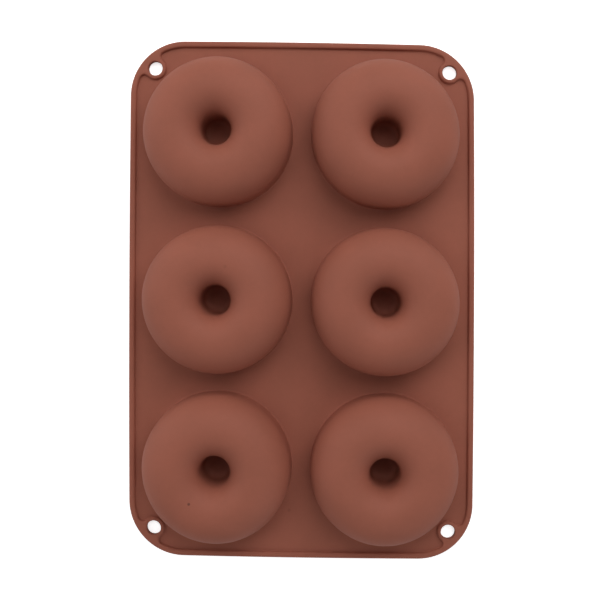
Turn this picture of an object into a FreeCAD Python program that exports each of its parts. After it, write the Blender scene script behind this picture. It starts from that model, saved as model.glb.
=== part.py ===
"""Doughnut mould: one soft silicone moulding with six ring-shaped cavities in two columns.

Millimetres. The mould lies as it is stored, domes up and open face down: z = 0 is the open
face, X runs across the two columns, Y along the three rows, and the origin is at the middle
of the open face. Each cavity is a ring, so each dome is a ring too, with a funnel-shaped
hollow in its middle that is closed at the bottom.
"""
import FreeCAD, Part
import math
import os
import Sketcher

NODE = "doughnut_mould"

# Driving sizes: alias, value, meaning. Angles are in degrees.
SIZES = [
    ("columns", 2, "domes across the width"),
    ("rows", 3, "domes along the length"),
    ("dome_radius", 37.1, "outside radius of a dome where it meets the sheet"),
    ("dome_height", 28.0, "open face to the crown of a dome"),
    ("column_gap", 9.6, "sheet between two domes across the width"),
    ("row_gap", 9.6, "sheet between two domes along the length"),
    ("side_margin", 8.5, "dome to the long edge"),
    ("end_margin", 9.7, "dome to the short edge"),
    ("corner_radius", 27.5, "outline of the sheet"),
    ("wall", 1.5, "skin of the domes"),
    ("sheet_thick", 1.5, "flat sheet between the domes"),
    ("dome_draft", 1.5, "lean of the outer wall"),
    ("foot_round", 0.6, "hollow where a dome grows out of the sheet"),
    ("mouth_round", 0.8, "edge of a cavity in the open face"),
    ("hollow_radius", 7.0, "centre hollow at its floor"),
    ("hollow_draft", 2.5, "lean of the hollow's wall"),
    ("hollow_round", 3.0, "hollow where its wall meets the floor"),
    ("pillar_recess", 1.0, "closed end of the pillar, in from the open face"),
    ("pillar_round", 4.5, "edge of the pillar's closed end"),
    ("bead_width", 3.0, "raised bead along the outline"),
    ("bead_height", 1.6, "bead above the sheet"),
    ("bead_round", 1.0, "both top edges of the bead"),
    ("bead_foot", 0.5, "hollow at the inner foot of the bead"),
    ("hole_radius", 3.6, "hanging hole"),
    ("hole_edge_distance", 7.2, "hole centre to the rounded outline"),
    ("hole_bearing", 42.4, "hole centre seen from the corner's centre"),
    ("boss_radius", 5.5, "boss round a hanging hole"),
    ("boss_blend", 2.4, "hollow where a boss runs into the bead"),
]

# Sizes worked out from the driving ones.
DERIVED = [
    ("column_pitch", "=2 * dome_radius + column_gap"),
    ("row_pitch", "=2 * dome_radius + row_gap"),
    ("tray_width", "=(columns - 1) * column_pitch + 2 * dome_radius + 2 * side_margin"),
    ("tray_length", "=(rows - 1) * row_pitch + 2 * dome_radius + 2 * end_margin"),
    ("bead_top", "=sheet_thick + bead_height"),
    ("hollow_floor", "=pillar_recess + wall"),
    ("cavity_radius", "=dome_radius - wall"),
    ("pillar_radius", "=hollow_radius + wall"),
    ("cavity_depth", "=dome_height - wall"),
    ("open_face", "=0"),
    ("hole_reach", "=corner_radius - hole_edge_distance"),
    ("hole_x", "=tray_width / 2 - corner_radius + hole_reach * cos(hole_bearing * 1 deg)"),
    ("hole_y", "=tray_length / 2 - corner_radius + hole_reach * sin(hole_bearing * 1 deg)"),
]

# The two skins of a dome, by the alias of each size. A cavity opens in the face itself.
OUTER_SKIN = {
    "outer": "dome_radius", "inner": "hollow_radius", "height": "dome_height",
    "base": "sheet_thick", "floor": "hollow_floor", "foot": "foot_round", "corner": "hollow_round",
}
CAVITY_SKIN = {
    "outer": "cavity_radius", "inner": "pillar_radius", "height": "cavity_depth",
    "base": "open_face", "floor": "pillar_recess", "foot": "mouth_round", "corner": "pillar_round",
}

START, END, CENTRE = 1, 2, 3
ORIGIN = (-1, 1)
TOLERANCE = 1e-4


def size_sheet(doc):
    """The spreadsheet that every sketch and feature is bound to."""
    sheet = doc.addObject("Spreadsheet::Sheet", "Sizes")
    for row, (alias, value, meaning) in enumerate(SIZES, start=1):
        sheet.set(f"A{row}", str(value))
        sheet.setAlias(f"A{row}", alias)
        sheet.set(f"B{row}", meaning)
    for row, (alias, formula) in enumerate(DERIVED, start=len(SIZES) + 1):
        sheet.set(f"A{row}", formula)
        sheet.setAlias(f"A{row}", alias)
    doc.recompute()
    return sheet


def number(sheet, alias):
    """A size as a plain number."""
    return float(sheet.get(alias))


def origin_feature(body, role):
    """One of the body's own origin planes or axes."""
    return next(f for f in body.Origin.OriginFeatures if f.Role == role)


class Profile:
    """A sketch on one of the body's origin planes, with each size bound to the sheet."""

    def __init__(self, body, name, plane):
        self.sketch = body.newObject("Sketcher::SketchObject", name)
        self.sketch.AttachmentSupport = (origin_feature(body, plane), [""])
        self.sketch.MapMode = "FlatFace"

    def line(self, start, end):
        """A straight edge between two points of the sketch plane."""
        edge = Part.LineSegment(FreeCAD.Vector(*start, 0), FreeCAD.Vector(*end, 0))
        return self.sketch.addGeometry(edge, False)

    def arc(self, centre, radius, first, last):
        """An arc that runs anticlockwise from one angle to the other, in degrees."""
        circle = Part.Circle(FreeCAD.Vector(*centre, 0), FreeCAD.Vector(0, 0, 1), radius)
        edge = Part.ArcOfCircle(circle, math.radians(first), math.radians(last))
        return self.sketch.addGeometry(edge, False)

    def circle(self, centre, radius):
        """A whole circle."""
        edge = Part.Circle(FreeCAD.Vector(*centre, 0), FreeCAD.Vector(0, 0, 1), radius)
        return self.sketch.addGeometry(edge, False)

    def guide_point(self, place):
        """A point that only guides other geometry."""
        return self.sketch.addGeometry(Part.Point(FreeCAD.Vector(*place, 0)), True)

    def hold(self, kind, *what):
        """A constraint without a size."""
        self.sketch.addConstraint(Sketcher.Constraint(kind, *what))

    def size(self, kind, what, value, expression):
        """A constraint whose size follows the sheet."""
        index = self.sketch.addConstraint(Sketcher.Constraint(kind, *what, value))
        self.sketch.setExpression(f"Constraints[{index}]", expression)


def rounded_rectangle(profile, width, length, radius, names):
    """Four sides and four corner arcs about the origin, sides first and anticlockwise."""
    x, y = width / 2, length / 2
    cx, cy = x - radius, y - radius
    sides = [
        profile.line((-cx, -y), (cx, -y)),
        profile.line((x, -cy), (x, cy)),
        profile.line((cx, y), (-cx, y)),
        profile.line((-x, cy), (-x, -cy)),
    ]
    corners = [
        profile.arc((cx, -cy), radius, 270, 360),
        profile.arc((cx, cy), radius, 0, 90),
        profile.arc((-cx, cy), radius, 90, 180),
        profile.arc((-cx, -cy), radius, 180, 270),
    ]
    for turn in range(4):
        profile.hold("Tangent", sides[turn], END, corners[turn], START)
        profile.hold("Tangent", corners[turn], END, sides[(turn + 1) % 4], START)
        profile.hold("Horizontal" if turn % 2 == 0 else "Vertical", sides[turn])
    for corner in corners[1:]:
        profile.hold("Equal", corners[0], corner)
    profile.hold("Symmetric", corners[1], CENTRE, corners[3], CENTRE, *ORIGIN)
    profile.size("DistanceX", (sides[3], START, sides[1], START), width, names[0])
    profile.size("DistanceY", (sides[0], START, sides[2], START), length, names[1])
    profile.size("Radius", (corners[0],), radius, names[2])


def pad(body, name, profile, height):
    """A pad up from the open face."""
    feature = body.newObject("PartDesign::Pad", name)
    feature.Profile = profile.sketch
    feature.setExpression("Length", height)
    return feature


def grid(body, name, originals, across, along):
    """Copies of features on a grid; each direction has its spacing and its count."""
    pattern = body.newObject("PartDesign::LinearPattern", name)
    pattern.Originals = originals
    for suffix, axis, (spacing, count) in (("", "X_Axis", across), ("2", "Y_Axis", along)):
        setattr(pattern, "Direction" + suffix, (origin_feature(body, axis), [""]))
        setattr(pattern, "Mode" + suffix, "Spacing")
        pattern.setExpression("Offset" + suffix, spacing)
        pattern.setExpression("Occurrences" + suffix, count)
    body.Document.recompute()
    # A negative entry means the pattern's own spacing, for every step along the direction.
    pattern.Spacings = [-1.0] * (pattern.Occurrences - 1)
    pattern.Spacings2 = [-1.0] * (pattern.Occurrences2 - 1)
    body.Tip = pattern
    body.Document.recompute()
    return pattern


def fillet(body, name, radius, chosen):
    """A fillet on the edges of the finished shape so far that the rule picks."""
    base = body.Tip
    edges = [f"Edge{i}" for i, edge in enumerate(base.Shape.Edges, start=1) if chosen(edge)]
    if not edges:
        raise RuntimeError(f"{name}: no edge to round")
    feature = body.newObject("PartDesign::Fillet", name)
    feature.Base = (base, edges)
    feature.setExpression("Radius", radius)
    body.Document.recompute()
    return feature


def at_level(edge, level):
    """Whether an edge lies flat at one height."""
    box = edge.BoundBox
    return abs(box.ZMin - level) < TOLERANCE and abs(box.ZMax - level) < TOLERANCE


def flat_tray(body, sheet):
    """The sheet, with the bead along its outline."""
    outline = ("Sizes.tray_width", "Sizes.tray_length", "Sizes.corner_radius")
    inner = tuple(f"{name} - {share} * Sizes.bead_width" for name, share in zip(outline, (2, 2, 1)))
    width, length, radius = (number(sheet, name.split(".")[1]) for name in outline)
    bead = number(sheet, "bead_width")

    plate = Profile(body, "SheetOutline", "XY_Plane")
    rounded_rectangle(plate, width, length, radius, outline)
    pad(body, "Sheet", plate, "Sizes.sheet_thick")

    ring = Profile(body, "BeadOutline", "XY_Plane")
    rounded_rectangle(ring, width, length, radius, outline)
    rounded_rectangle(ring, width - 2 * bead, length - 2 * bead, radius - bead, inner)
    pad(body, "Bead", ring, "Sizes.bead_top")


def corner_circle(body, sheet, name, radius):
    """A circle about the hanging hole in the corner with the lowest X and Y."""
    x, y = -number(sheet, "hole_x"), -number(sheet, "hole_y")
    profile = Profile(body, name, "XY_Plane")
    ring = profile.circle((x, y), number(sheet, radius))
    profile.size("DistanceX", (ring, CENTRE, *ORIGIN), -x, "Sizes.hole_x")
    profile.size("DistanceY", (ring, CENTRE, *ORIGIN), -y, "Sizes.hole_y")
    profile.size("Radius", (ring,), number(sheet, radius), f"Sizes.{radius}")
    return profile


def corner_bosses(body, sheet):
    """A boss in each corner, run into the bead, and the rounding of all that stands up."""
    boss = pad(body, "Boss", corner_circle(body, sheet, "BossOutline", "boss_radius"), "Sizes.bead_top")
    grid(body, "Bosses", [boss], ("2 * Sizes.hole_x", "2"), ("2 * Sizes.hole_y", "2"))
    body.Document.recompute()

    centre = FreeCAD.Vector(number(sheet, "hole_x"), number(sheet, "hole_y"), 0)
    reach = number(sheet, "boss_radius")

    def where_boss_meets_bead(edge):
        spot = edge.CenterOfMass
        away = FreeCAD.Vector(abs(spot.x), abs(spot.y), 0).distanceToPoint(centre)
        return edge.BoundBox.ZLength > TOLERANCE and abs(away - reach) < TOLERANCE

    fillet(body, "BossBlend", "Sizes.boss_blend", where_boss_meets_bead)
    top, foot = number(sheet, "bead_top"), number(sheet, "sheet_thick")
    fillet(body, "BeadCrown", "Sizes.bead_round", lambda edge: at_level(edge, top))
    fillet(body, "BeadFoot", "Sizes.bead_foot", lambda edge: at_level(edge, foot))


def hanging_holes(body, sheet):
    """A hole straight through each boss."""
    hole = body.newObject("PartDesign::Pocket", "HangingHole")
    hole.Profile = corner_circle(body, sheet, "HoleOutline", "hole_radius").sketch
    hole.Type = "ThroughAll"
    hole.Reversed = True
    grid(body, "HangingHoles", [hole], ("2 * Sizes.hole_x", "2"), ("2 * Sizes.hole_y", "2"))


def ring_section(sheet, skin):
    """Places on the half section of one skin of a dome, with the dome's axis upright at zero.

    Two leaning walls carry a crown arc that touches both and reaches the skin's height. The
    arc's radius follows from that: its distance from each wall is the radius itself.
    """
    size = {part: number(sheet, alias) for part, alias in skin.items()}
    datum_out, datum_in = number(sheet, "sheet_thick"), number(sheet, "hollow_floor")
    lean_out = math.radians(number(sheet, "dome_draft"))
    lean_in = math.radians(number(sheet, "hollow_draft"))
    touch_out = 1 / math.cos(lean_out) - math.tan(lean_out)
    touch_in = 1 / math.cos(lean_in) - math.tan(lean_in)
    span = size["outer"] - math.tan(lean_out) * (size["height"] - datum_out)
    span -= size["inner"] + math.tan(lean_in) * (size["height"] - datum_in)
    crown = span / (touch_out + touch_in)
    middle_z = size["height"] - crown
    middle_r = size["inner"] + math.tan(lean_in) * (middle_z - datum_in) + crown / math.cos(lean_in)
    foot_r = size["outer"] + math.tan(lean_out) * (datum_out - size["base"]) + size["foot"] * touch_out
    corner_r = size["inner"] - math.tan(lean_in) * (datum_in - size["floor"]) - size["corner"] * touch_in
    return {
        "size": size,
        "datum": (datum_out, datum_in),
        "lean": (lean_out, lean_in),
        "crown": ((middle_r, middle_z), crown),
        "foot": (foot_r, size["base"] + size["foot"]),
        "corner": (corner_r, size["floor"] + size["corner"]),
    }


def on_circle(centre, radius, angle):
    """The point of a circle at an angle in radians."""
    return centre[0] + radius * math.cos(angle), centre[1] + radius * math.sin(angle)


def ring_profile(body, sheet, name, skin):
    """The closed outline of one skin: out along the open face, up, over the crown and back."""
    section = ring_section(sheet, skin)
    size = section["size"]
    (datum_out, datum_in), (lean_out, lean_in) = section["datum"], section["lean"]
    (middle, crown), foot_centre, corner_centre = section["crown"], section["foot"], section["corner"]
    profile = Profile(body, name, "XZ_Plane")
    profile.sketch.setExpression(
        "AttachmentOffset.Base.x", "-(Sizes.columns - 1) / 2 * Sizes.column_pitch")
    profile.sketch.setExpression(
        "AttachmentOffset.Base.z", "(Sizes.rows - 1) / 2 * Sizes.row_pitch")

    foot = profile.arc(foot_centre, size["foot"], 180 + math.degrees(lean_out), 270)
    wall_out = profile.line(
        on_circle(foot_centre, size["foot"], math.pi + lean_out), on_circle(middle, crown, lean_out))
    over = profile.arc(middle, crown, math.degrees(lean_out), 180 - math.degrees(lean_in))
    wall_in = profile.line(
        on_circle(corner_centre, size["corner"], -lean_in), on_circle(middle, crown, math.pi - lean_in))
    corner = profile.arc(corner_centre, size["corner"], 270, 360 - math.degrees(lean_in))
    floor = profile.line((corner_centre[0], size["floor"]), (0, size["floor"]))
    axis = profile.line((0, size["floor"]), (0, 0))
    face = profile.line((0, 0), (foot_centre[0], 0))
    step = profile.line((foot_centre[0], 0), (foot_centre[0], size["base"])) if size["base"] > 0 else face

    profile.hold("Tangent", foot, START, wall_out, START)
    profile.hold("Tangent", wall_out, END, over, START)
    profile.hold("Tangent", over, END, wall_in, END)
    profile.hold("Tangent", wall_in, START, corner, END)
    profile.hold("Coincident", corner, START, floor, START)
    profile.hold("Coincident", floor, END, axis, START)
    profile.hold("Coincident", axis, END, *ORIGIN)
    profile.hold("Coincident", face, START, *ORIGIN)
    profile.hold("Coincident", step, END, foot, END)
    profile.hold("Horizontal", floor)
    profile.hold("Vertical", axis)
    profile.hold("Horizontal", face)
    profile.hold("Vertical", foot, CENTRE, foot, END)
    profile.hold("Vertical", corner, CENTRE, corner, START)
    if step != face:
        profile.hold("Coincident", face, END, step, START)
        profile.hold("Vertical", step)
        profile.size("DistanceY", (*ORIGIN, step, END), size["base"], f"Sizes.{skin['base']}")

    crown_top = profile.guide_point((middle[0], size["height"]))
    profile.hold("PointOnObject", crown_top, START, over)
    profile.hold("Vertical", crown_top, START, over, CENTRE)
    profile.size("DistanceY", (*ORIGIN, crown_top, START), size["height"], f"Sizes.{skin['height']}")
    for wall, part, datum, level in (
        (wall_out, "outer", datum_out, "sheet_thick"), (wall_in, "inner", datum_in, "hollow_floor"),
    ):
        mark = profile.guide_point((size[part], datum))
        profile.hold("PointOnObject", mark, START, wall)
        profile.size("DistanceX", (*ORIGIN, mark, START), size[part], f"Sizes.{skin[part]}")
        profile.size("DistanceY", (*ORIGIN, mark, START), datum, f"Sizes.{level}")
    profile.size("Angle", (wall_out,), math.pi / 2 + lean_out, "(90 + Sizes.dome_draft) * 1 deg")
    profile.size("Angle", (wall_in,), math.pi / 2 - lean_in, "(90 - Sizes.hollow_draft) * 1 deg")
    profile.size("Radius", (foot,), size["foot"], f"Sizes.{skin['foot']}")
    profile.size("Radius", (corner,), size["corner"], f"Sizes.{skin['corner']}")
    profile.size("DistanceY", (*ORIGIN, floor, END), size["floor"], f"Sizes.{skin['floor']}")
    return profile


def ring_domes(body, sheet):
    """One dome turned about its axis, its ring cavity turned out of it, and their copies."""
    turned = []
    for kind, name, skin in (
        ("PartDesign::Revolution", "Dome", OUTER_SKIN), ("PartDesign::Groove", "Cavity", CAVITY_SKIN),
    ):
        profile = ring_profile(body, sheet, name + "Section", skin)
        feature = body.newObject(kind, name)
        feature.Profile = profile.sketch
        feature.ReferenceAxis = (profile.sketch, ["V_Axis"])
        feature.Angle = 360
        body.Document.recompute()
        turned.append(feature)
    grid(
        body, "Domes", turned,
        ("Sizes.column_pitch", "Sizes.columns"), ("Sizes.row_pitch", "Sizes.rows"),
    )


def build():
    """The whole mould as one body."""
    doc = FreeCAD.newDocument("DoughnutMould")
    sheet = size_sheet(doc)
    body = doc.addObject("PartDesign::Body", "Mould")
    body.Label = NODE
    flat_tray(body, sheet)
    corner_bosses(body, sheet)
    hanging_holes(body, sheet)
    ring_domes(body, sheet)
    doc.recompute()
    return doc


def check(doc, body):
    """Stop before anything is written if an object failed or the shape is not sound."""
    for item in doc.Objects:
        if "Invalid" in item.State or "Error" in item.State:
            raise RuntimeError(f"{item.Name}: {item.State}")
    if body.Shape.isNull() or not body.Shape.isValid():
        raise RuntimeError(f"{body.Label}: the shape is not sound")


doc = build()
mould = doc.getObject("Mould")
check(doc, mould)
os.makedirs("parts", exist_ok=True)
mould.Shape.exportStep(f"parts/{mould.Label}.step")
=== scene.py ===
"""Looks of the doughnut mould: a soft brown silicone moulding on a pale floor, seen from above.

The CAD solid gives the size and the place. One worked-out surface stands for it here: six ring
domes over six ring cavities, the sheet between them, the bead round the edge and a hanging hole
in each corner. Lengths are metres, written in millimetres through MM.
"""
import math

import bmesh
import bpy
import numpy as np
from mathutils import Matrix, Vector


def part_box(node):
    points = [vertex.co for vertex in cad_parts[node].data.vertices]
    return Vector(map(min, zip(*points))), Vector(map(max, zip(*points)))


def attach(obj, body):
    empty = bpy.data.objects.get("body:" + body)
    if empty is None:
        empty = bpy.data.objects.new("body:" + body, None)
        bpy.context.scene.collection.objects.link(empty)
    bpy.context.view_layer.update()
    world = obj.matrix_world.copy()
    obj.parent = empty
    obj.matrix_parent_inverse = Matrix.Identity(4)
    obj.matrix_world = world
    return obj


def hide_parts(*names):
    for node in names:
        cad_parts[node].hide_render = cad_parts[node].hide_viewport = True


NODE = "doughnut_mould"
MM = 0.001

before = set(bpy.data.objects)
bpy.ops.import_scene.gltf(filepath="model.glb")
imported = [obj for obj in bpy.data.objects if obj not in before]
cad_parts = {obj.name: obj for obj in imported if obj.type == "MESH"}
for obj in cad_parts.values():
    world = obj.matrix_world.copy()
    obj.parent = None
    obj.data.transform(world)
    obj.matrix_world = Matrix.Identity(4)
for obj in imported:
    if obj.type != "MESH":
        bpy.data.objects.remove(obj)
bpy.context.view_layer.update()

# The tray, from the frame, and its sheet and bead.
TRAY_LOW, TRAY_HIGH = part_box(NODE)
HALF_WIDTH = TRAY_HIGH[0]
HALF_LENGTH = TRAY_HIGH[1]
CORNER_RADIUS = 27.5 * MM
SHEET_TOP = 1.5 * MM
BEAD_WIDTH = 3.0 * MM
BEAD_TOP = 3.1 * MM
BEAD_ROUND = 1.0 * MM
BEAD_FOOT = 0.5 * MM
RIM_ROUND = 0.3 * MM

# The domes and the ring cavities in them. The crown turns into the hollow on the arc SHOULDER, which is
# tighter than the solid's single arc, and turns outwards on a wider one.
PITCH = 83.8 * MM
DOME_RADIUS = 37.1 * MM
DOME_HEIGHT = TRAY_HIGH[2]
WALL = 1.5 * MM
HOLLOW_RADIUS = 7.0 * MM
HOLLOW_FLOOR = 2.5 * MM
SHOULDER = 12.0 * MM
OUTER_DRAFT = math.radians(1.5)
INNER_DRAFT = math.radians(2.5)
OUTER_SKIN = {
    "outer": DOME_RADIUS, "inner": HOLLOW_RADIUS, "height": DOME_HEIGHT, "shoulder": SHOULDER,
    "base": SHEET_TOP, "floor": HOLLOW_FLOOR, "foot": 0.6 * MM, "corner": 3.0 * MM,
}
CAVITY_SKIN = {
    "outer": DOME_RADIUS - WALL, "inner": HOLLOW_RADIUS + WALL, "height": DOME_HEIGHT - WALL,
    "shoulder": SHOULDER - WALL, "base": 0, "floor": HOLLOW_FLOOR - WALL, "foot": 0.8 * MM,
    "corner": 4.5 * MM,
}

# The hanging holes and the bosses round them, placed from the corner's centre.
HOLE_RADIUS = 3.6 * MM
HOLE_ROUND = 0.4 * MM
HOLE_REACH = 20.3 * MM
HOLE_BEARING = math.radians(42.4)
BOSS_RADIUS = 5.5 * MM
BOSS_BLEND = 2.4 * MM
BOSS_SIGHT = math.radians(8.0)

# Steps of the grids. A side of a dome's cell has SIDE_STEPS, and the rim round a corner twice that.
SIDE_STEPS = 40
RUN_STEPS = 15
ARC_STEPS = 6
BLEND_STEPS = 8
BOSS_STEPS = 2 * (SIDE_STEPS - RUN_STEPS - ARC_STEPS - BLEND_STEPS)
ROUND_STEPS = 5
SHOULDER_STEPS = 8
CROWN_STEPS = 10
FLOOR_SHARES = (0, 0.4, 0.85)
NEAR_ENDS = (0.08, 0.5, 0.92)
SHEET_SHARES = (0.12, 0.4, 0.7, 1)
EVENED = 0.25
WELD = 0.001 * MM

# How the soft sheet lies.
DRAWN_IN = 0.7 * MM
SKEW = -0.0055
TAKEN_IN = 0.9978

# The finish: colours are linear, and a noise's scale is its number of cells to a metre. Specks are
# (x, y, radius, depth), with x and y from above, and fade out from the share SPECK_CORE of their radius.
DEEP_BROWN = (0.295, 0.097, 0.063)
PALE_BROWN = (0.327, 0.106, 0.069)
SPECK_BROWN = (0.10, 0.035, 0.026)
SPECKS = (
    (-51.8 * MM, -96.6 * MM, 0.9 * MM, 0.8),
    (-5.4 * MM, -106.6 * MM, 1.2 * MM, 0.25),
    (-35.6 * MM, 16.8 * MM, 1.0 * MM, 0.2),
)
SPECK_CORE = 0.4
CLOUD_SCALE = 45.0
MOTTLE_SCALE = 420.0
GRAIN_SCALE = 2600.0
BUMP_STRENGTH = 0.25
BUMP_DISTANCE = 0.04 * MM
LEAST_ROUGHNESS = 0.55
ADDED_ROUGHNESS = 0.12
SILICONE_IOR = 1.41
SPECULAR_LEVEL = 0.2

# The studio. Lights are (name, bearing and rise in degrees, width, strength). A lens and its sensor are
# in Blender's own millimetres.
FLOOR_SIZE = 4.0
FLOOR_DROP = 0.1 * MM
FLOOR_WHITE = 0.9
FLOOR_ROUGHNESS = 0.9
FLOOR_GLOW = 0.7
ROOM_LIGHT = 0.15
LIGHT_DISTANCE = 1.1
LIGHTS = (
    ("key_box", 60, 48, 0.95, 4.5),
    ("top_box", 96, 47, 0.8, 2.0),
    ("low_key_box", 50, 30, 0.8, 2.0),
    ("left_box", 165, 47, 1.0, 2.4),
    ("near_box", 294, 36, 0.9, 1.85),
    ("low_left_box", 156, 12, 0.8, 2.55),
    ("low_near_left_box", 210, 12, 0.7, 1.2),
    ("low_near_box", 313, 12, 0.75, 1.3),
)
CAMERA_HEIGHT = 430 * MM
CAMERA_PLACE = (18.0 * MM, 19.0 * MM)
VIEW_CENTRE = (-0.9 * MM, 0.0)
CAMERA_TURN = math.radians(0.535)
VIEW_WIDTH = 304.2 * MM
SENSOR_WIDTH = 36
CLIP_START, CLIP_END = 0.01, 20


def compass(angle):
    """Unit vectors (cos, sin) of one angle or many."""
    return np.stack([np.cos(angle), np.sin(angle)], axis=-1)


def bow(centre, radius, first, last, steps):
    """Points of an arc: the centre plus the radius along evenly spaced angles."""
    return np.array(centre) + radius * compass(np.linspace(first, last, steps + 1))


def between(start, end, shares):
    """Points of a straight line at the given shares of its length."""
    return np.array(start) + np.outer(shares, np.array(end) - np.array(start))


def seen(distance, first, last, steps):
    """Places along a straight side, evenly spaced by angle for an eye at this distance from it."""
    return distance * np.tan(np.linspace(math.atan(first / distance), math.atan(last / distance), steps + 1))


def half_section(outer, inner, height, shoulder, base, floor, foot, corner):
    """Half section of one skin of a dome, from its axis out to the flat round it, as (radius, height).

    The two walls lean by their drafts. Two arcs make the crown and meet level at its highest ring.
    An arc that touches a wall has its centre (1 - sin) / cos of the draft times its radius away
    from where that wall reaches the height: the shoulder's radius places the ring, and the ring
    gives the outer arc's radius. A small arc runs into the floor in the middle, and another into
    the flat outside.
    """
    touch_out = (1 - math.sin(OUTER_DRAFT)) / math.cos(OUTER_DRAFT)
    touch_in = (1 - math.sin(INNER_DRAFT)) / math.cos(INNER_DRAFT)
    top_out = outer - math.tan(OUTER_DRAFT) * (height - SHEET_TOP)
    top_in = inner + math.tan(INNER_DRAFT) * (height - HOLLOW_FLOOR)
    peak = top_in + shoulder * touch_in
    crown = (top_out - peak) / touch_out
    foot_out = outer + math.tan(OUTER_DRAFT) * (SHEET_TOP - base) + foot * touch_out
    floor_in = inner - math.tan(INNER_DRAFT) * (HOLLOW_FLOOR - floor) - corner * touch_in
    into_floor = bow(
        (floor_in, floor + corner), corner, 1.5 * math.pi, 2 * math.pi - INNER_DRAFT, ROUND_STEPS)
    up = bow((peak, height - shoulder), shoulder, math.pi - INNER_DRAFT, math.pi / 2, SHOULDER_STEPS)
    over = bow((peak, height - crown), crown, math.pi / 2, OUTER_DRAFT, CROWN_STEPS)
    into_flat = bow((foot_out, base + foot), foot, math.pi + OUTER_DRAFT, 1.5 * math.pi, ROUND_STEPS)
    return np.concatenate([
        between((0, floor), into_floor[0], FLOOR_SHARES), into_floor,
        between(into_floor[-1], up[0], NEAR_ENDS), up, over[1:],
        between(over[-1], into_flat[0], NEAR_ENDS), into_flat,
    ])


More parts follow.
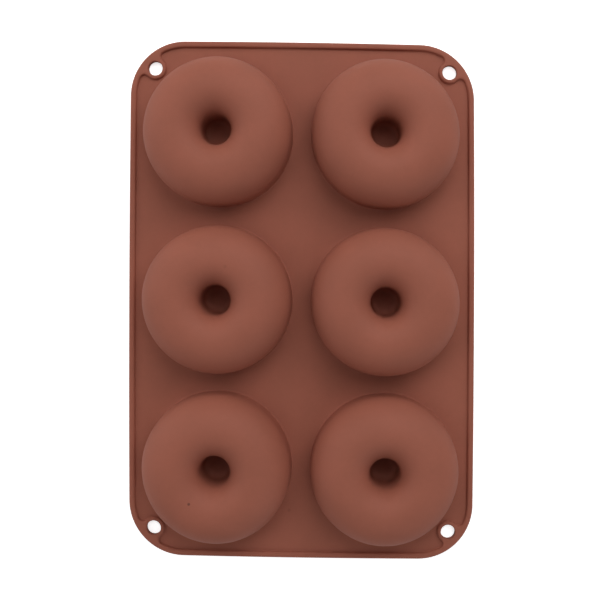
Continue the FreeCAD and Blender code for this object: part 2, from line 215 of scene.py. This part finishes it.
class Rim:
    """The bead's inner wall round the corner with the highest X and Y, with the outline opposite it.

    The path runs from the middle of the long side to the middle of the short one: straight, along
    an arc about the corner's centre, round a hollow blend, back round the inner side of the boss,
    and so on to the other side. A blend's centre lies where a circle about the corner's centre
    crosses one about the boss. The point moved along its normal gives every parallel path.
    """

    def __init__(self):
        self.corner = np.array([HALF_WIDTH - CORNER_RADIUS, HALF_LENGTH - CORNER_RADIUS])
        self.boss = self.corner + HOLE_REACH * compass(HOLE_BEARING)
        radius = CORNER_RADIUS - BEAD_WIDTH
        to_blend, to_boss = radius - BOSS_BLEND, BOSS_RADIUS + BOSS_BLEND
        swing = math.acos((HOLE_REACH ** 2 + to_blend ** 2 - to_boss ** 2) / (2 * HOLE_REACH * to_blend))
        self.lean = math.acos((to_blend ** 2 - HOLE_REACH ** 2 - to_boss ** 2) / (2 * HOLE_REACH * to_boss))
        before, after = HOLE_BEARING - swing, HOLE_BEARING + swing
        first_blend, second_blend = (self.corner + to_blend * compass(a) for a in (before, after))
        self.first_boss = SIDE_STEPS // 2 + RUN_STEPS + ARC_STEPS + BLEND_STEPS
        self.last_boss = self.first_boss + BOSS_STEPS

        wall_x, wall_y = HALF_WIDTH - BEAD_WIDTH, HALF_LENGTH - BEAD_WIDTH
        eye_x, eye_y = wall_x - BEAD_FOOT - PITCH / 2, wall_y - BEAD_FOOT - PITCH
        along = np.concatenate([
            seen(eye_x, 0, PITCH / 2, SIDE_STEPS // 2),
            PITCH + seen(eye_x, -PITCH / 2, self.corner[1] - PITCH, RUN_STEPS)[1:],
        ])
        across = PITCH / 2 + seen(eye_y, self.corner[0] - PITCH / 2, -PITCH / 2, RUN_STEPS)[1:]
        rounds = [
            (self.corner, 1, bow(self.corner, radius, 0, before, ARC_STEPS)),
            (first_blend, 1, bow(
                first_blend, BOSS_BLEND, before, HOLE_BEARING + math.pi - self.lean, BLEND_STEPS)),
            (self.boss, -1, bow(
                self.boss, BOSS_RADIUS, HOLE_BEARING - self.lean, HOLE_BEARING + self.lean - 2 * math.pi,
                BOSS_STEPS)),
            (second_blend, 1, bow(
                second_blend, BOSS_BLEND, HOLE_BEARING + math.pi + self.lean, after + 2 * math.pi,
                BLEND_STEPS)),
            (self.corner, 1, bow(self.corner, radius, after, math.pi / 2, ARC_STEPS)),
        ]
        curve = np.concatenate([points[1:] for _, _, points in rounds])
        facing = np.concatenate([sign * (points[1:] - centre) for centre, sign, points in rounds])
        eased = np.sin(np.linspace(0, math.pi / 2, BLEND_STEPS + 1))
        bearing = np.concatenate([
            np.linspace(0, before, ARC_STEPS + 1)[1:],
            before + (swing - BOSS_SIGHT) * eased[1:],
            np.linspace(HOLE_BEARING - BOSS_SIGHT, HOLE_BEARING + BOSS_SIGHT, BOSS_STEPS + 1)[1:],
            after - (swing - BOSS_SIGHT) * eased[-2::-1],
            np.linspace(after, math.pi / 2, ARC_STEPS + 1)[1:],
        ])
        long_side = np.stack([np.full(len(along), wall_x), along], axis=1)
        short_side = np.stack([across, np.full(len(across), wall_y)], axis=1)
        self.wall = np.concatenate([long_side, curve, short_side])
        self.facing = np.concatenate([
            np.tile((1.0, 0.0), (len(along), 1)), facing / np.linalg.norm(facing, axis=1, keepdims=True),
            np.tile((0.0, 1.0), (len(across), 1)),
        ])
        self.outline = np.concatenate([
            long_side + (BEAD_WIDTH, 0), self.corner + CORNER_RADIUS * compass(bearing),
            short_side + (0, BEAD_WIDTH),
        ])
        self.outward = np.concatenate([
            np.tile((1.0, 0.0), (len(along), 1)), compass(bearing), np.tile((0.0, 1.0), (len(across), 1)),
        ])

    def from_wall(self, shift, height):
        """The path moved into the bead by a shift, at a height."""
        return level(self.wall + shift * self.facing, height)

    def from_outline(self, shift, height):
        """The outline moved inwards by a shift, at a height."""
        return level(self.outline - shift * self.outward, height)

    def hole_rims(self, radius, height):
        """Two paths along the bead's middle that part round the hanging hole, the inner one first.

        Both lie in from the bead's wall by half its width, and on a boss by its wall round the
        hole, with a smooth step along the blends. On the boss the inner path is then the inner
        side of the hole, and the outer path goes round the other side.
        """
        step = np.arange(len(self.wall))
        away = np.maximum(np.maximum(self.first_boss - step, step - self.last_boss), 0)
        near = smooth_step(np.clip(1 - away / BLEND_STEPS, 0, 1))
        shift = BEAD_WIDTH / 2 + near * (BOSS_RADIUS - radius - BEAD_WIDTH / 2)
        inner = self.wall + shift[:, None] * self.facing
        outer = inner.copy()
        outer[self.first_boss:self.last_boss + 1] = bow(
            self.boss, radius, HOLE_BEARING - self.lean, HOLE_BEARING + self.lean, BOSS_STEPS)
        return level(inner, height), level(outer, height)


def smooth_step(share):
    """Rises from 0 to 1 with level ends."""
    return share * share * (3 - 2 * share)


def level(path, height):
    """A flat path lifted to a height."""
    return np.column_stack([path, np.full(len(path), height)])


class Skin:
    """Grids of points gathered into one mesh of four-sided faces."""

    def __init__(self):
        self.points = []
        self.faces = []
        self.count = 0

    def add(self, grid, turned_over=False):
        """A grid of rows: its faces look to the left of the rows' step when the columns run forward."""
        rows, columns = grid.shape[:2]
        index = self.count + np.arange(rows * columns).reshape(rows, columns)
        corners = [index[:-1, :-1], index[1:, :-1], index[1:, 1:], index[:-1, 1:]]
        if turned_over:
            corners.reverse()
        self.points.append(grid.reshape(-1, 3))
        self.faces.append(np.stack(corners, axis=-1).reshape(-1, 4))
        self.count += rows * columns

    def mirrored_both_ways(self):
        """All points and faces of this quarter and of its mirror images across X, Y and both."""
        points, faces = np.concatenate(self.points), np.concatenate(self.faces)
        every_point, every_face = [], []
        for copy, flip in enumerate(((1, 1), (-1, 1), (-1, -1), (1, -1))):
            every_point.append(points * (*flip, 1))
            turned = faces if flip[0] * flip[1] > 0 else faces[:, ::-1]
            every_face.append(turned + copy * len(points))
        return np.concatenate(every_point), np.concatenate(every_face)


def cell_grid(section, boundary, axis, flat_height, closed):
    """One skin of a dome's cell, as rings from the dome's axis out to the cell's boundary.

    The half section is turned to the bearing of each boundary point, and straight lines go on from
    its last ring to the boundary. On a whole cell the bearings are first drawn towards even ones
    by the share EVENED, so that they keep rising where the rim bends round a boss.
    """
    local = boundary - axis
    bearing = np.unwrap(np.arctan2(local[:, 1], local[:, 0]))
    if closed:
        even = np.linspace(bearing[0], bearing[-1], len(bearing))
        bearing = bearing + EVENED * (even - bearing)
    ring = axis + section[:, :1, None] * compass(bearing)
    rings = np.concatenate([ring, np.broadcast_to(section[:, 1, None, None], (*ring.shape[:2], 1))], axis=-1)
    edge = level(boundary, flat_height)
    flat = np.stack([rings[-1] + share * (edge - rings[-1]) for share in SHEET_SHARES])
    return np.concatenate([rings, flat])


def cells(skin, foot_path):
    """The corner cell and the upper half of the middle cell, each with its outer and its cavity skin."""
    shared = SIDE_STEPS // 2
    half = PITCH / 2
    foot_x, foot_y = foot_path[0, 0], foot_path[-1, 1]
    inner_side = seen(half, foot_y - PITCH, -half, SIDE_STEPS)[1:]
    lower_side = seen(half, -half, foot_x - half, SIDE_STEPS)[1:]
    corner_cell = np.concatenate([
        foot_path[shared:],
        np.stack([np.zeros(SIDE_STEPS), PITCH + inner_side], axis=1),
        np.stack([half + lower_side, np.full(SIDE_STEPS, half)], axis=1),
    ])
    upper_side = seen(half, foot_x - half, -half, SIDE_STEPS)[1:]
    middle_side = seen(half, half, 0, shared)[1:]
    middle_cell = np.concatenate([
        foot_path[:shared + 1],
        np.stack([half + upper_side, np.full(SIDE_STEPS, half)], axis=1),
        np.stack([np.zeros(shared), middle_side], axis=1),
    ])
    for sizes, under in ((OUTER_SKIN, False), (CAVITY_SKIN, True)):
        section = half_section(**sizes)
        for boundary, axis, closed in ((corner_cell, (half, PITCH), True), (middle_cell, (half, 0), False)):
            skin.add(cell_grid(section, boundary, np.array(axis), sizes["base"], closed), turned_over=under)


def bead(skin, rim):
    """The bead along the rim: up from the sheet, over the top, down the outline and back underneath.

    Each row is a path parallel to the bead's inner wall or to the outline. Rounds are quarter
    circles of rows. On the flat top and underneath, two rows part round the hanging hole.
    """
    quarter = np.linspace(0, math.pi / 2, ROUND_STEPS + 1)
    crest = BEAD_TOP - BEAD_ROUND
    opened = HOLE_RADIUS + HOLE_ROUND
    rise = [
        rim.from_wall(BEAD_FOOT * (math.sin(a) - 1), SHEET_TOP + BEAD_FOOT * (1 - math.cos(a)))
        for a in quarter]
    rise += [
        rim.from_wall(BEAD_ROUND * (1 - math.cos(a)), crest + BEAD_ROUND * math.sin(a)) for a in quarter]
    inner_top, outer_top = rim.hole_rims(opened, BEAD_TOP)
    inner_under, outer_under = rim.hole_rims(opened, 0)
    fall = [
        rim.from_outline(BEAD_ROUND * (1 - math.sin(a)), crest + BEAD_ROUND * math.cos(a)) for a in quarter]
    fall += [
        rim.from_outline(RIM_ROUND * (1 - math.cos(a)), RIM_ROUND * (1 - math.sin(a))) for a in quarter]
    skin.add(np.stack([*rise, inner_top]))
    skin.add(np.stack([outer_top, *fall, outer_under]))
    skin.add(np.stack([inner_under, rim.from_wall(-BEAD_FOOT, 0)]))


def hanging_hole(skin, rim):
    """The wall of the hanging hole: its upper edge rounded, straight down, its lower edge rounded."""
    quarter = np.linspace(0, math.pi / 2, ROUND_STEPS + 1)
    profile = [(HOLE_ROUND * (1 - math.sin(a)), BEAD_TOP - HOLE_ROUND * (1 - math.cos(a))) for a in quarter]
    profile += [(HOLE_ROUND * (1 - math.cos(a)), HOLE_ROUND * (1 - math.sin(a))) for a in quarter]
    rows = []
    for widening, height in profile:
        inner, outer = rim.hole_rims(HOLE_RADIUS + widening, height)
        span = slice(rim.first_boss, rim.last_boss + 1)
        rows.append(np.concatenate([inner[span], outer[span][::-1][1:]]))
    skin.add(np.stack(rows))


def lie(points):
    """The soft sheet doesn't lie quite square.

    Towards the corners it draws in by up to DRAWN_IN, with the square of the place along the other
    side, and the two columns lean past each other by the angle SKEW. All of it is taken in a
    little first, so that it stays inside its CAD box.
    """
    across, along = points[:, 0] / HALF_WIDTH, points[:, 1] / HALF_LENGTH
    moved = points * (TAKEN_IN, TAKEN_IN, 1)
    moved[:, 0] += SKEW * points[:, 1] - DRAWN_IN * across * along ** 2
    moved[:, 1] += SKEW * points[:, 0] - DRAWN_IN * along * across ** 2
    return moved


def mould_mesh():
    """The whole mould as one closed mesh."""
    skin = Skin()
    rim = Rim()
    cells(skin, rim.from_wall(-BEAD_FOOT, 0)[:, :2])
    bead(skin, rim)
    hanging_hole(skin, rim)
    points, faces = skin.mirrored_both_ways()
    mesh = bpy.data.meshes.new("mould")
    mesh.from_pydata(lie(points), [], faces)
    loose = bmesh.new()
    loose.from_mesh(mesh)
    bmesh.ops.remove_doubles(loose, verts=loose.verts, dist=WELD)
    loose.to_mesh(mesh)
    loose.free()
    mesh.shade_smooth()
    return mesh


class Shade:
    """A node socket that takes part in Python expressions: each operator adds one Math node."""

    def __init__(self, tree, socket):
        self.tree = tree
        self.socket = socket

    def math(self, operation, *others):
        """One Math node of this value and the others."""
        return node(self.tree, "ShaderNodeMath", {"operation": operation}, [self, *others])

    def __add__(self, other):
        return self.math("ADD", other)

    __radd__ = __add__

    def __mul__(self, other):
        return self.math("MULTIPLY", other)

    __rmul__ = __mul__

    def __sub__(self, other):
        return self.math("SUBTRACT", other)

    def __rsub__(self, other):
        return (self * -1) + other

    def ramp(self, low, high):
        """0 below low, 1 above high and smooth between."""
        settings = {"interpolation_type": "SMOOTHSTEP"}
        sockets = {"Value": self, "From Min": low, "From Max": high}
        return node(self.tree, "ShaderNodeMapRange", settings, sockets)


def node(tree, kind, settings, inputs, output=0):
    """Adds a node: its settings first, then the values or links of its sockets. Returns one output."""
    made = tree.nodes.new(kind)
    for name, value in settings.items():
        setattr(made, name, value)
    for name, value in inputs.items() if isinstance(inputs, dict) else enumerate(inputs):
        if isinstance(value, Shade):
            tree.links.new(value.socket, made.inputs[name])
        else:
            made.inputs[name].default_value = value
    return Shade(tree, made.outputs[output])


def blended(tree, share, first, second):
    """A colour between two, by a share. Sockets 6 and 7, and output 2, are the node's colours."""
    settings = {"data_type": "RGBA", "blend_type": "MIX"}
    sockets = {"Factor": share, 6: first, 7: second}
    return node(tree, "ShaderNodeMix", settings, sockets, output=2)


def new_material(name):
    """An empty material: its node tree and its output node."""
    material = bpy.data.materials.new(name)
    material.use_nodes = True
    tree = material.node_tree
    tree.nodes.clear()
    return material, tree, tree.nodes.new("ShaderNodeOutputMaterial")


def noise(tree, place, scale, detail=2.0, roughness=0.5):
    """Noise between about 0 and 1, with cells of 1 / scale metres."""
    sockets = {"Vector": place, "Scale": scale, "Detail": detail, "Roughness": roughness}
    return node(tree, "ShaderNodeTexNoise", {}, sockets)


def silicone():
    """Matte brown silicone: even colour with faint clouding, a fine satin grain and a few dust specks."""
    material, tree, output = new_material("brown_silicone")
    place = node(tree, "ShaderNodeTexCoord", {}, {}, output=3)
    cloud = noise(tree, place, CLOUD_SCALE, detail=3.0)
    mottle = noise(tree, place, MOTTLE_SCALE, detail=4.0, roughness=0.6)
    grain = noise(tree, place, GRAIN_SCALE, detail=3.0, roughness=0.6)
    tone = (cloud * 0.65 + mottle * 0.35).ramp(0.3, 0.7)
    colour = blended(tree, tone, (*DEEP_BROWN, 1), (*PALE_BROWN, 1))
    for x, y, radius, depth in SPECKS:
        spot = node(tree, "ShaderNodeVectorMath", {"operation": "MULTIPLY"}, [place, (1, 1, 0)])
        away = node(tree, "ShaderNodeVectorMath", {"operation": "DISTANCE"}, [spot, (x, y, 0)], output=1)
        share = (1 - away.ramp(SPECK_CORE * radius, radius)) * depth
        colour = blended(tree, share, colour, (*SPECK_BROWN, 1))
    height = grain * 0.7 + mottle * 0.3
    bump = node(tree, "ShaderNodeBump", {}, {
        "Strength": BUMP_STRENGTH, "Distance": BUMP_DISTANCE, "Height": height,
    })
    surface = node(tree, "ShaderNodeBsdfPrincipled", {}, {
        "Base Color": colour, "Roughness": LEAST_ROUGHNESS + mottle * ADDED_ROUGHNESS, "Normal": bump,
        "IOR": SILICONE_IOR, "Specular IOR Level": SPECULAR_LEVEL,
    })
    tree.links.new(surface.socket, output.inputs["Surface"])
    return material


def floor_paper():
    """White paper. Camera rays also see a little glow, so that it stays white beside the shadow."""
    material, tree, output = new_material("floor_paper")
    seen_by_camera = node(tree, "ShaderNodeLightPath", {}, {}, output=0)
    surface = node(tree, "ShaderNodeBsdfPrincipled", {}, {
        "Base Color": (FLOOR_WHITE, FLOOR_WHITE, FLOOR_WHITE, 1), "Roughness": FLOOR_ROUGHNESS,
        "Emission Color": (1, 1, 1, 1), "Emission Strength": seen_by_camera * FLOOR_GLOW,
    })
    tree.links.new(surface.socket, output.inputs["Surface"])
    return material


def paper_floor():
    """A square of paper under the mould, FLOOR_SIZE on a side, a hair below its open face."""
    half, low = FLOOR_SIZE / 2, -FLOOR_DROP
    mesh = bpy.data.meshes.new("floor")
    corners = [(-half, -half, low), (half, -half, low), (half, half, low), (-half, half, low)]
    mesh.from_pydata(corners, [], [(0, 1, 2, 3)])
    mesh.materials.append(floor_paper())
    floor = bpy.data.objects.new("floor", mesh)
    bpy.context.scene.collection.objects.link(floor)


def studio_lights():
    """Soft boxes round the mould, each by its bearing, rise, width and strength, in a dim white room."""
    for name, bearing, rise, width, strength in LIGHTS:
        around, up = math.radians(bearing), math.radians(rise)
        back = np.array([math.cos(around) * math.cos(up), math.sin(around) * math.cos(up), math.sin(up)])
        lamp = bpy.data.lights.new(name, "AREA")
        lamp.shape = "DISK"
        lamp.size = width
        lamp.energy = strength
        box = bpy.data.objects.new(name, lamp)
        box.location = back * LIGHT_DISTANCE
        box.rotation_euler = (math.pi / 2 - up, 0, around + math.pi / 2)
        bpy.context.scene.collection.objects.link(box)
    world = bpy.data.worlds.new("white_room")
    world.use_nodes = True
    tree = world.node_tree
    tree.nodes.clear()
    camera_ray = node(tree, "ShaderNodeLightPath", {}, {}, output=0)
    strength = camera_ray * (1 - ROOM_LIGHT) + ROOM_LIGHT
    room = node(tree, "ShaderNodeBackground", {}, {"Color": (1, 1, 1, 1), "Strength": strength})
    tree.links.new(room.socket, tree.nodes.new("ShaderNodeOutputWorld").inputs["Surface"])
    bpy.context.scene.world = world


def overhead_camera():
    """Straight above the mould, turned a little, with the frame's width covering VIEW_WIDTH of the sheet.

    It stands a little off the middle, and the lens is shifted back to it, as the photograph's outline
    and its hollows show.
    """
    lens = bpy.data.cameras.new("overhead")
    lens.sensor_width = SENSOR_WIDTH
    lens.lens = SENSOR_WIDTH * (CAMERA_HEIGHT - SHEET_TOP) / VIEW_WIDTH
    back = (np.array(VIEW_CENTRE) - CAMERA_PLACE) / VIEW_WIDTH
    lens.shift_x = float(back @ compass(CAMERA_TURN))
    lens.shift_y = float(back @ compass(CAMERA_TURN + math.pi / 2))
    lens.clip_start, lens.clip_end = CLIP_START, CLIP_END
    camera = bpy.data.objects.new("overhead", lens)
    camera.location = (*CAMERA_PLACE, CAMERA_HEIGHT)
    camera.rotation_euler = (0, 0, CAMERA_TURN)
    bpy.context.scene.collection.objects.link(camera)
    bpy.context.scene.camera = camera


mould = bpy.data.objects.new("mould", mould_mesh())
bpy.context.scene.collection.objects.link(mould)
mould.data.materials.append(silicone())
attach(mould, "root")
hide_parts(NODE)

paper_floor()
studio_lights()
overhead_camera()
bpy.context.scene.view_settings.view_transform = "Standard"
